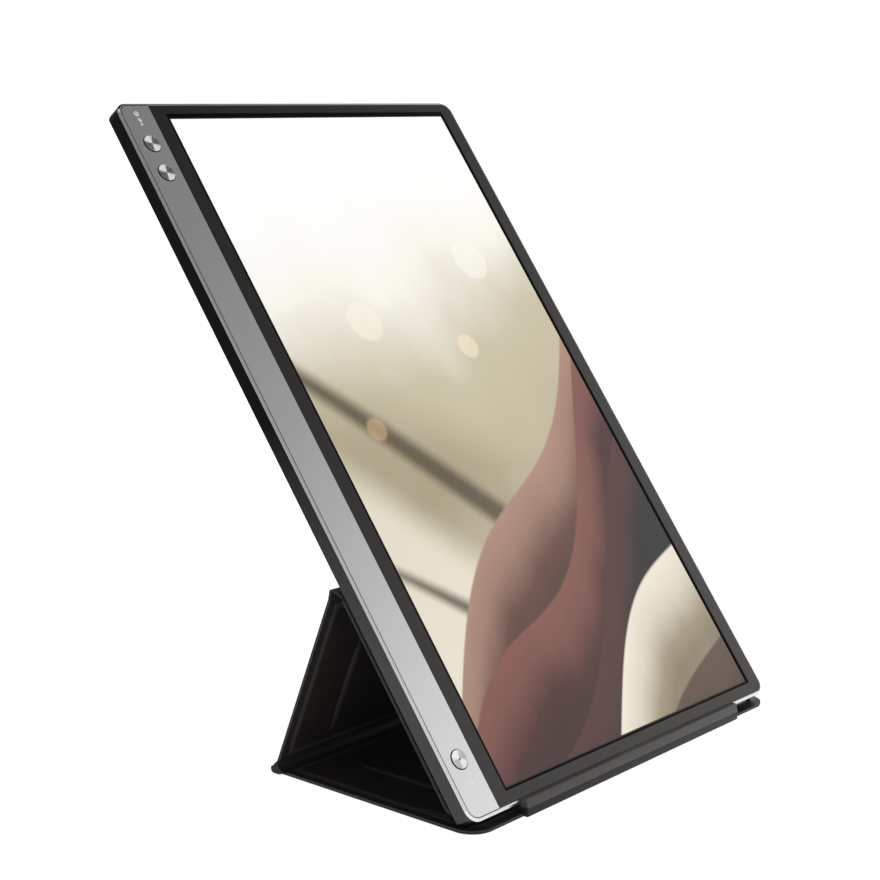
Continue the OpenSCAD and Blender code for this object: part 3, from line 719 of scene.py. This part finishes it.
def joint_line(material):
    """Thin dark band over the joint between the rim and the metal strip, round the strip's three
    outer sides: painted shade of the groove there.
    """
    inset, radius, steps = 1.5 * MM, 5.0 * MM, 12
    left = -HALF + inset + radius
    path = [(-HALF + STRIP_W, inset)]
    for y, start in ((inset + radius, 270), (BODY_H - inset - radius, 180)):
        for k in range(steps + 1):
            turn = math.radians(start - k * 90 / steps)
            path.append((left + radius * math.cos(turn), y + radius * math.sin(turn)))
    path.append((-HALF + STRIP_W, BODY_H - inset))
    half_width, low, high = 0.2, -0.1, 0.012
    corners = ((-half_width, low), (-half_width, high), (half_width, high), (half_width, low))
    bm = swept([(0, u * MM, z * MM) for u, z in corners], along_path(path))
    finish_piece("joint_line", bm, "monitor", material, (), SCREEN, 30)


def coat(node, material):
    """Gives a solid of the frame its finish."""
    mesh = frame["nodes"][node].data
    mesh.materials.clear()
    mesh.materials.append(material)


def dress_monitor():
    # The housing's reflection fades between 60 and 160 mm up: painted shade on its upper sides
    shell = moulded("housing_plastic", (0.002, 0.002, 0.0022), 0.3, painted_shade_span=(60 * MM, 160 * MM))
    frame_finish = hairline("frame_brushed", (0.0012, 0.0011, 0.001), 0.26, 0.0, 3600, 0.006 * MM,
                            0.08, 1.1 * MM)
    silver = (0.66, 0.655, 0.65)
    strip = hairline("strip_metal", silver, 0.23, 1.0, 2600, 0.001 * MM, 0.012)
    rim = hairline("rim_metal", silver, 0.22, 1.0, 2600, 0.001 * MM, 0.02)
    for name, node, slot, ease, material in (
            ("housing_shell", "rear_housing", "housing", 0.12, shell),
            ("frame_face", "front_frame", "frame", 0.14, frame_finish),
            ("strip_face", "strip_plate", "strip", 0.1, strip)):
        bm = softened(node, ease * MM)
        even_faces(finish_piece(name, bm, "monitor", material, (node,)))
    edge = softened("front_rim", 0.06 * MM)
    out, up = (SCREEN.to_3x3() @ Vector(v) for v in ((0, 0, 1), (0, 1, 0)))
    for face in edge.faces:
        n = face.normal
        # Its sides take the housing's dark plastic, and its upward faces take it as painted shade;
        # its face, its other chamfers and its lower side are bright
        face.material_index = int(n.dot(up) > 0.4 or (n.dot(out) < 0.35 and abs(n.x) > 0.5))
    even_faces(finish_piece("rim_edge", edge, "monitor", rim, ("front_rim",),
                            extra=(shell,)))
    # Painted shade of the groove beside the strip
    joint_line(moulded("painted_groove_shade", (0.006, 0.006, 0.006), 0.6))
    metal = (0.74, 0.735, 0.73)
    for name, level in KEYS.items():
        lamp = name == "power_key"
        # How dark the painted shade between the painted highlights is
        contrast = 0.66 if lamp else 0.27
        turned_key(name, level, spun_metal(name + "_spun", metal, contrast, lamp))
    power_mark(POWER_MARK_UP, ink("mark_pale", (0.95, 0.95, 0.95)))
    socket_marks(ink("mark_white", (0.9, 0.9, 0.9)))
    board = circuit_board("board_mask")
    cable = flat_cable("cable_film")
    steel = sheet_steel("tray_steel")
    screws = sheet_steel("screw_steel", (0.36, 0.36, 0.37), 0.3)
    nickel = sheet_steel("magnet_nickel", (0.6, 0.6, 0.61), 0.2)
    finishes = {
        "key_carrier": moulded("carrier_plastic", (0.014, 0.014, 0.014), 0.6),
        "key_switches": sheet_steel("switch_steel", (0.55, 0.55, 0.54), 0.3),
        "key_board": board, "power_board": board, "main_board": board, "port_board": board,
        "board_ribbon": cable, "panel_ribbon": cable,
        "display_glass": lit_picture("lit_picture"),
        "light_guide": light_guide_finish("guide_acrylic"),
        "led_bar": led_finish("lamp_strip"),
        "panel_tray": steel, "tray_screws": screws, "board_screws": screws,
        "board_chips": chip_finish("chip_plastic"),
        "shield_can": sheet_steel("can_tin", (0.66, 0.67, 0.68), 0.26),
        "usb_port": sheet_steel("socket_shell", (0.62, 0.62, 0.63), 0.24),
        "usb_tongue": moulded("tongue_plastic", (0.012, 0.012, 0.012), 0.5),
        "body_magnets": nickel, "rest_magnets": nickel,
    }
    for node, material in finishes.items():
        coat(node, material)


# ---- Cover ----


def lined_panel(name, y0, y1, place, body, slot, node, materials, corner, marks):
    """Lining of a panel: a flat hem, a raised bead, a sunk field and low pressed lines on it; the
    bead and the lines take the second, lighter finish as a painted highlight.
    """
    bm = slab(-HALF, y0, SKIN_T, HALF, y1, COVER_T - 0.15 * MM)
    if corner:
        rounded(bm, upright_edges(bm, y0), corner, 14)
    top = max(bm.faces, key=lambda face: face.calc_center_median().z)
    # Round a small corner the steps are narrower, to stay inside it
    narrower = min(1.0, 0.1 * corner / MM) if corner else 1.0
    # Step inward, rise and painted highlight, from the panel's edge over a flat hem and a bead
    for step, rise, wear_and_highlight in ((0.4, 0.0, 0), (3.8, 0.02, 0), (0.5, 0.18, 1), (0.6, 0.14, 1),
                             (0.5, 0.03, 1), (0.5, -0.05, 1), (0.6, -0.16, 1), (0.7, -0.2, 0),
                             (0.6, -0.06, 0)):
        ring = bmesh.ops.inset_region(bm, faces=[top], thickness=step * narrower * MM,
                                      depth=rise * MM, use_even_offset=True)
        for face in ring["faces"]:
            face.material_index = wear_and_highlight
    foot = 1.42 * MM                                     # just under the field's surface
    for points in marks:
        line = pressed_line(points, foot)
        # The pressed lines take the lighter finish too: a painted highlight
        for face in line.faces:
            face.material_index = 1
        add_to(bm, line)
    finish_piece(name, bm, body, materials[0], (node,), place, 60, materials[1:])


def pressed_line(points, base):
    """A low soft ridge along a line of (x, y) points, with a rounded section and tapered ends."""
    half_width, rise = 2.6 * MM, 0.6 * MM
    line = along_curve([Vector(p) for p in points], 8)
    hump = ((-1, -0.25), (-0.62, 0.32), (-0.3, 0.85), (0, 1), (0.3, 0.85), (0.62, 0.32), (1, -0.25))
    section = [(0, u * half_width, h * rise) for u, h in hump]
    last = len(line) - 1
    bm = swept(section, along_path(line, lambda i: min(1.0, 0.3 + 0.5 * min(i, last - i))))
    bmesh.ops.translate(bm, vec=(0, 0, base), verts=bm.verts)
    return bm


def skinned_panel(name, y0, y1, place, body, slot, node, material, corner):
    """Skin of a panel: a shallow tray round the board, with a soft outer edge."""
    bm = slab(-HALF, y0, 0, HALF, y1, SKIN_T)
    if corner:
        rounded(bm, upright_edges(bm, y0), corner, 14)
    outer = min(bm.faces, key=lambda face: face.calc_center_median().z)
    rounded(bm, list(outer.edges), 0.55 * MM, 4)
    top = max(bm.faces, key=lambda face: face.calc_center_median().z)
    bmesh.ops.inset_region(bm, faces=[top], thickness=2 * MM, depth=0)
    sunk = bmesh.ops.extrude_face_region(bm, geom=[top])
    moved = [g for g in sunk["geom"] if isinstance(g, bmesh.types.BMVert)]
    bmesh.ops.translate(bm, vec=(0, 0, -0.9 * MM), verts=moved)
    if top.is_valid:
        bmesh.ops.delete(bm, geom=[top], context="FACES_ONLY")
    finish_piece(name, bm, body, material, (node,), place, 40)


def along_curve(points, count):
    """Evenly spread points on a smooth curve through the given ones."""
    ends = [points[0] * 2 - points[1], *points, points[-1] * 2 - points[-2]]
    found = []
    for i in range(1, len(ends) - 2):
        p0, p1, p2, p3 = ends[i - 1:i + 3]
        for k in range(count):
            t = k / count
            found.append(0.5 * ((2 * p1) + (p2 - p0) * t + (2 * p0 - 5 * p1 + 4 * p2 - p3) * t * t
                                + (3 * p1 - p0 - 3 * p2 + p3) * t ** 3))
    return found + [points[-1]]


def band(middle, thick):
    """Two side-view lines on either side of a middle line."""
    line = along_curve([Vector(p) for p in middle], 6)
    front, rear = [], []
    for i, p in enumerate(line):
        away = (line[min(i + 1, len(line) - 1)] - line[max(i - 1, 0)]).normalized()
        side = Vector((-away.y, away.x)) * thick / 2
        front.append(p + side)
        rear.append(p - side)
    return front, rear


def folded_strip(name, sides, node, materials, flare=0.0):
    """Soft strip across a fold, between two side-view lines."""
    bm = profile_bar(sides[0] + sides[1][::-1], -HALF - flare, HALF + flare, 2)
    bmesh.ops.recalc_face_normals(bm, faces=bm.faces)
    for face in bm.faces:
        # Faces toward the space under the monitor take a darker lining: painted shade in the fold's
        # crease
        face.material_index = int(face.normal.dot(Vector((0, -0.8, 0.6))) > 0.4)
    made = finish_piece(name, bm, None, materials[0], (node,), None, 50, materials[1:])
    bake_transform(made)


def rest_point(up, depth):
    """Side-view point at a height up the screen and a depth behind it."""
    p = SCREEN @ Vector((0, up, -depth))
    return (p.y, p.z)


def back_point(down, inward):
    """Side-view point at a length down the rear panel and a depth into it."""
    p = BACK @ Vector((0, down, inward))
    return (p.y, p.z)


def stop_bar(material):
    """Leather-wrapped bar: upright face with a crease, a second facet, eased edges."""
    crease_z = 4.05
    outline = [(-61.0, 0.05), (-61.05, crease_z), (-59.85, 8.1), (-56.75, 8.1), (-56.75, 5.13),
               (-52.3, 1.75), (-59.0, 1.72), (-59.0, 0.02)]
    end = HALF - STOP_INSET
    bm = profile_bar([(y * MM, z * MM) for y, z in outline], -end, end)
    hard = [e for e in steep_edges(bm, 25)
            if all(v.co.y < -59.5 * MM or v.co.z > 6 * MM for v in e.verts)]
    crease = [e for e in steep_edges(bm, 8)
              if all(abs(v.co.z - crease_z * MM) < 1e-6 for v in e.verts)]
    rounded(bm, hard, 0.4 * MM, 4)
    rounded(bm, [e for e in crease if e.is_valid], 0.12 * MM, 2)
    finish_piece("stop_leather", bm, "base_panel", material, ("stop_skin",), None, 40)


def dress_cover():
    skin = leather("cover_leather", (0.009, 0.0078, 0.0072))
    # Its upper facet, above 4.1 mm, has painted light
    bar_skin = leather("bar_leather", (0.0125, 0.0112, 0.0103), 0.45, lit_above=4.1 * MM)
    # The second lining is lighter: painted highlight on the beads and pressed lines
    lining = (coated("cover_lining", (0.018, 0.0148, 0.0138), 0.36),
              coated("painted_highlight_lining", (0.042, 0.037, 0.0345), 0.36))
    # Darker lining for the folds' inner faces: painted shade
    fold_shade_lining = coated("fold_shade_lining", (0.009, 0.0077, 0.0073), 0.5)
    board = moulded("stiff_sheet", (0.09, 0.088, 0.085), 0.7, 1800)
    for node in ("rest_board", "rear_board", "base_board", "stop_core"):
        coat(node, board)
    rest = (REST_LOW, REST_TOP)
    rear = (FOLD_ROOM, REAR_LEN - FOLD_ROOM)
    base = (0.0, BASE_D - FOLD_ROOM)
    sides = (-1, 1)
    rear_marks = [[(s * 85.5 * MM, 33 * MM), (s * 85.5 * MM, 84 * MM)] for s in sides]
    base_marks = [[(s * 86.5 * MM, 30 * MM), (s * 86.5 * MM, 93 * MM)] for s in sides]
    base_marks += [[(s * 104.5 * MM, 20 * MM), (s * 107.5 * MM, 24 * MM), (s * 109 * MM, 30 * MM),
                    (s * 109.3 * MM, 37 * MM)] for s in sides]
    skinned_panel("rest_leather", *rest, REST, "rest_panel", "rest_skin", "rest_skin", skin,
                  REST_CORNER)
    lined_panel("rest_suede", *rest, REST, "rest_panel", "rest_lining", "rest_lining", lining,
                REST_CORNER, ())
    skinned_panel("rear_leather", *rear, BACK, "rear_panel", "rear_skin", "rear_skin", skin, 0)
    lined_panel("rear_suede", *rear, BACK, "rear_panel", "rear_lining", "rear_lining", lining, 0,
                rear_marks)
    skinned_panel("base_leather", *base, BASE, "base_panel", "base_skin", "base_skin", skin,
                  BASE_CORNER)
    lined_panel("base_suede", *base, BASE, "base_panel", "base_lining", "base_lining", lining,
                BASE_CORNER, base_marks)
    stop_bar(bar_skin)
    ridge_strip((skin, fold_shade_lining))
    heel_strip((skin, fold_shade_lining))


def ridge_strip(materials):
    """The top fold: up from the rest panel's end, over the ridge and down into the rear panel."""
    mid = BODY_T + COVER_GAP + COVER_T / 2
    line = [rest_point(RIDGE_UP + up * MM, mid + depth * MM) for up, depth in
            ((-6.2, 0), (-4.2, 0.2), (-2.1, 1.5), (-0.4, 3.0), (0.5, 4.3))]
    line += [back_point(1.6 * MM, 0.5 * MM), back_point(3.6 * MM, COVER_T / 2)]
    folded_strip("ridge_leather", band(line, FOLD_T),
                 "ridge_fold", materials)


def heel_strip(materials):
    """The lower fold: a soft rounded heel between the rear and the base panel."""
    outer = [back_point(REAR_LEN - 3.6 * MM, 0.12 * MM), back_point(REAR_LEN - 1.9 * MM, -0.2 * MM)]
    outer += [(REAR.y + y * MM, z * MM) for y, z in
              ((1.2, 3.2), (1.6, 1.7), (0.7, 0.3), (-1.3, 0.05), (-3.4, 0.1))]
    inner = [back_point(REAR_LEN - 5.8 * MM, 1.3 * MM), back_point(REAR_LEN - 5.0 * MM, 1.8 * MM)]
    inner += [(REAR.y + y * MM, z * MM) for y, z in
              ((-2.9, 4.3), (-3.4, 3.2), (-4.5, 2.3), (-6.0, 1.8), (-7.0, 1.3))]
    heel = [along_curve([Vector(p) for p in side], 6) for side in (outer, inner)]
    folded_strip("heel_leather", heel,
                 "rear_fold", materials, 1.2 * MM)


# ---- Studio ----


def floor_sheet():
    bm = bmesh.new()
    bmesh.ops.create_grid(bm, x_segments=1, y_segments=1, size=1.5)
    mesh = bpy.data.meshes.new("floor")
    bm.to_mesh(mesh)
    bm.free()
    paper = Finish("floor_paper", (0.92, 0.92, 0.92), 0.9, specular=0.05)
    paper.tint(paper.noise(1.2, 2), (0.915, 0.915, 0.915), (0.925, 0.925, 0.925))
    paper.set("Emission Color", (1, 1, 1, 1))
    paper.set("Emission Strength", 0.8)
    mesh.materials.append(paper.mat)
    floor = bpy.data.objects.new("floor", mesh)
    floor.location = (0.5, 0.3, -0.0002)
    scene.collection.objects.link(floor)


def studio():
    """White sweep behind and below, soft white in front, and darker overhead."""
    floor_sheet()
    world = bpy.data.worlds.new("studio")
    scene.world = world
    world.use_nodes = True
    tree = world.node_tree
    coords = tree.nodes.new("ShaderNodeTexCoord")
    split = tree.nodes.new("ShaderNodeSeparateXYZ")
    tree.links.new(coords.outputs["Generated"], split.inputs["Vector"])

    def stepped(source, stops):
        return graded(tree, source, [(at, (value,) * 3) for at, value in stops])

    height = split.outputs["Z"]
    front = stepped(height, ((0.0, 1.0), (0.455, 1.0), (0.52, 0.67), (0.6, 0.39), (0.68, 0.25),
                             (0.78, 0.2), (1.0, 0.15)))
    rear = stepped(height, ((0.0, 1.0), (0.16, 1.0), (0.3, 0.2), (1.0, 0.16)))
    # How far a direction lies toward the back, from 0 to 1
    rearward = tree.nodes.new("ShaderNodeMath")
    rearward.operation = "MULTIPLY_ADD"
    tree.links.new(split.outputs["Y"], rearward.inputs[0])
    for slot in (1, 2):
        rearward.inputs[slot].default_value = 0.5
    share = stepped(rearward.outputs[0], ((0.5, 0.0), (0.62, 1.0)))
    sky = tree.nodes.new("ShaderNodeMix")
    sky.data_type = "RGBA"
    for slot, value in zip(MIX_INPUTS, (share, front, rear)):
        tree.links.new(value, sky.inputs[slot])
    background = tree.nodes["Background"]
    tree.links.new(sky.outputs[MIX_RESULT], background.inputs["Color"])
    background.inputs["Strength"].default_value = 1.2
    sun = bpy.data.lights.new("soft_overhead", "SUN")
    sun.energy = 0.35
    sun.angle = math.radians(55)
    lamp = bpy.data.objects.new("soft_overhead", sun)
    scene.collection.objects.link(lamp)


dress_monitor()
dress_cover()
studio()
